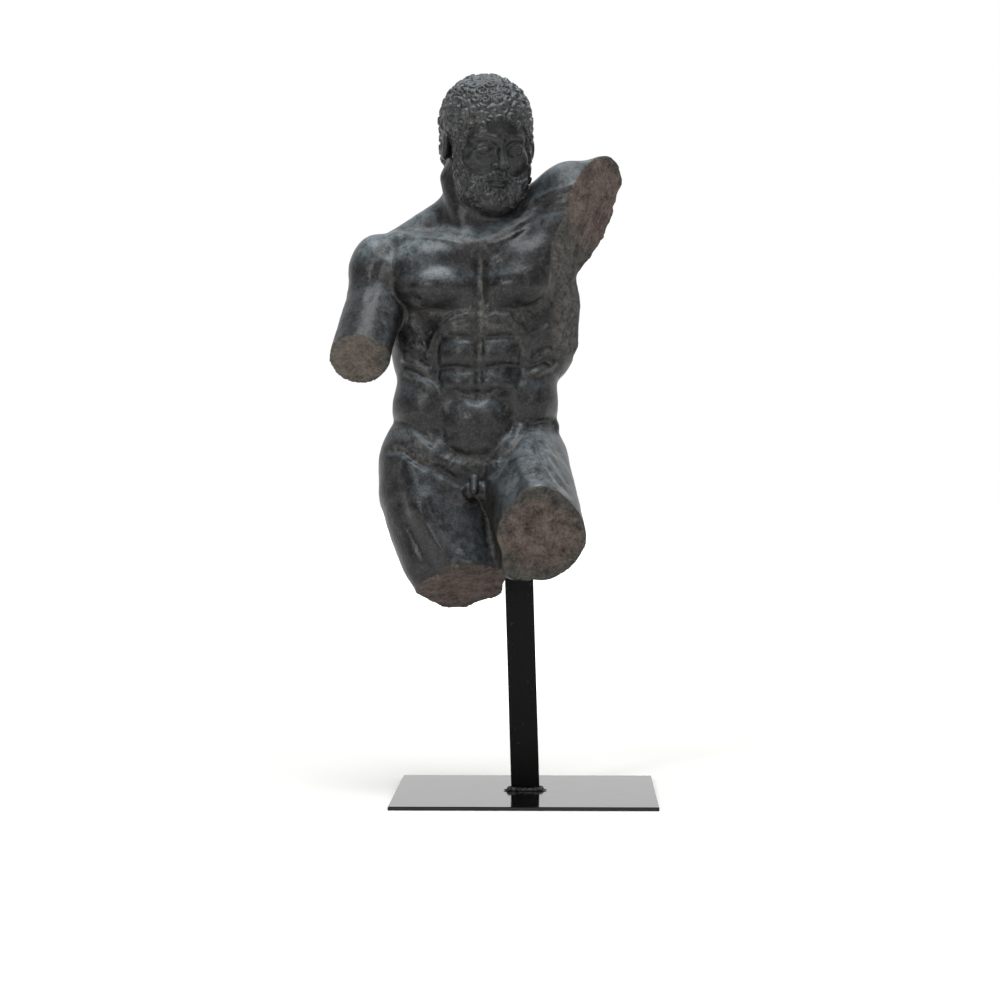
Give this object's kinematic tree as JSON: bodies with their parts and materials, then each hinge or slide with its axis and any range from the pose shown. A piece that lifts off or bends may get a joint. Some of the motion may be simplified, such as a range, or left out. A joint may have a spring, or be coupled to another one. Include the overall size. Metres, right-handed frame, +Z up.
{
  "type": "male torso statuette on stand",
  "caption": "Statuette fragment of a bearded male nude, head and trunk with broken-off limbs, on a flat upright bar and a thin rectangular base plate.",
  "frame": {"origin": "centre of the underside of the base plate, on the floor", "axes": "+Z up along the figure, the chest faces -Y, the figure's left side is at +X"},
  "size_m": [0.254, 0.22, 0.5692],
  "materials": {
    "dark_resin": "stone-filled casting resin, slate black, satin, brown dust in the recesses, granular brown at the breaks",
    "black_paint": "satin black paint on steel",
    "black_lacquer": "smooth glossy black lacquer on steel",
    "painted_weld": "rough weld metal under satin black paint"
  },
  "bodies": {
    "root": {"figure": "dark_resin", "upright_bar": "black_paint", "base_plate": "black_lacquer", "weld_bead": "painted_weld"}
  },
  "joints": []
}
